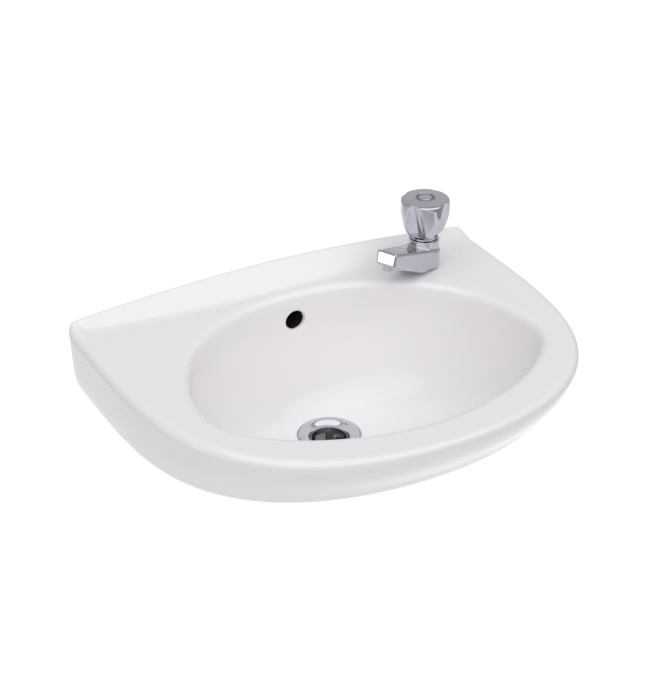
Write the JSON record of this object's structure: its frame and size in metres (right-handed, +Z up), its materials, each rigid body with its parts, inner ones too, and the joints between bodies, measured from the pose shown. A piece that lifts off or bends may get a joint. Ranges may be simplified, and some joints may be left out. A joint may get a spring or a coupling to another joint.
{
  "type": "wall-hung washbasin",
  "caption": "Small D-shaped wall-hung washbasin in white china with an arched upstand, a chrome pillar tap with fluted handle, an overflow and a slotted waste.",
  "frame": {"origin": "on the wall face of the back plate, midway between the two wall bolt holes", "axes": "+Z up, -Y out from the wall to the front of the basin, +X to the right seen from the front; the wall is the plane y = 0"},
  "size_m": [0.45, 0.345, 0.268],
  "materials": {
    "china": "white glaze, glossy",
    "chrome": "bright plated",
    "chrome_handle": "bright plated",
    "brass": "plain turned brass",
    "rubber": "black, matt",
    "seal_ring": "dark grey fibre, matt",
    "clear_washer": "off-white, matt",
    "clip_steel": "spring steel",
    "indice": "bright plated disc, unmarked",
    "insert": "white moulding"
  },
  "bodies": {
    "basin": {"basin_body": "china", "tap_body": "chrome", "tap_base_seal": "rubber", "tap_washer": "clear_washer", "tap_backnut": "brass", "headgear_body": "brass", "headgear_seal": "seal_ring", "outlet_ring": "chrome", "flow_straightener": "insert", "waste_body": "chrome", "waste_top_seal": "rubber", "waste_under_seal": "rubber", "waste_friction_washer": "clear_washer", "waste_backnut": "brass"},
    "handle": {"tap_handle": "chrome_handle", "handle_screw": "clip_steel", "indice_disc": "indice", "spindle": "brass", "spindle_o_rings": "rubber", "spindle_clip": "clip_steel"},
    "valve": {"jumper": "brass", "jumper_washer": "rubber", "jumper_screw": "brass"}
  },
  "joints": [
    {"name": "handle_turn", "type": "hinge", "parent": "basin", "child": "handle", "pos_m": [0.144, -0.053, 0.1], "axis": [0, 0, 1], "range_deg": [0, 900]},
    {"name": "valve_lift", "type": "slide", "parent": "basin", "child": "valve", "axis": [0, 0, 1], "range_m": [0, 0.004]}
  ],
  "couplings": [
    {"joint": "valve_lift", "follows": "handle_turn", "m_per_rad": 0.00025465}
  ]
}
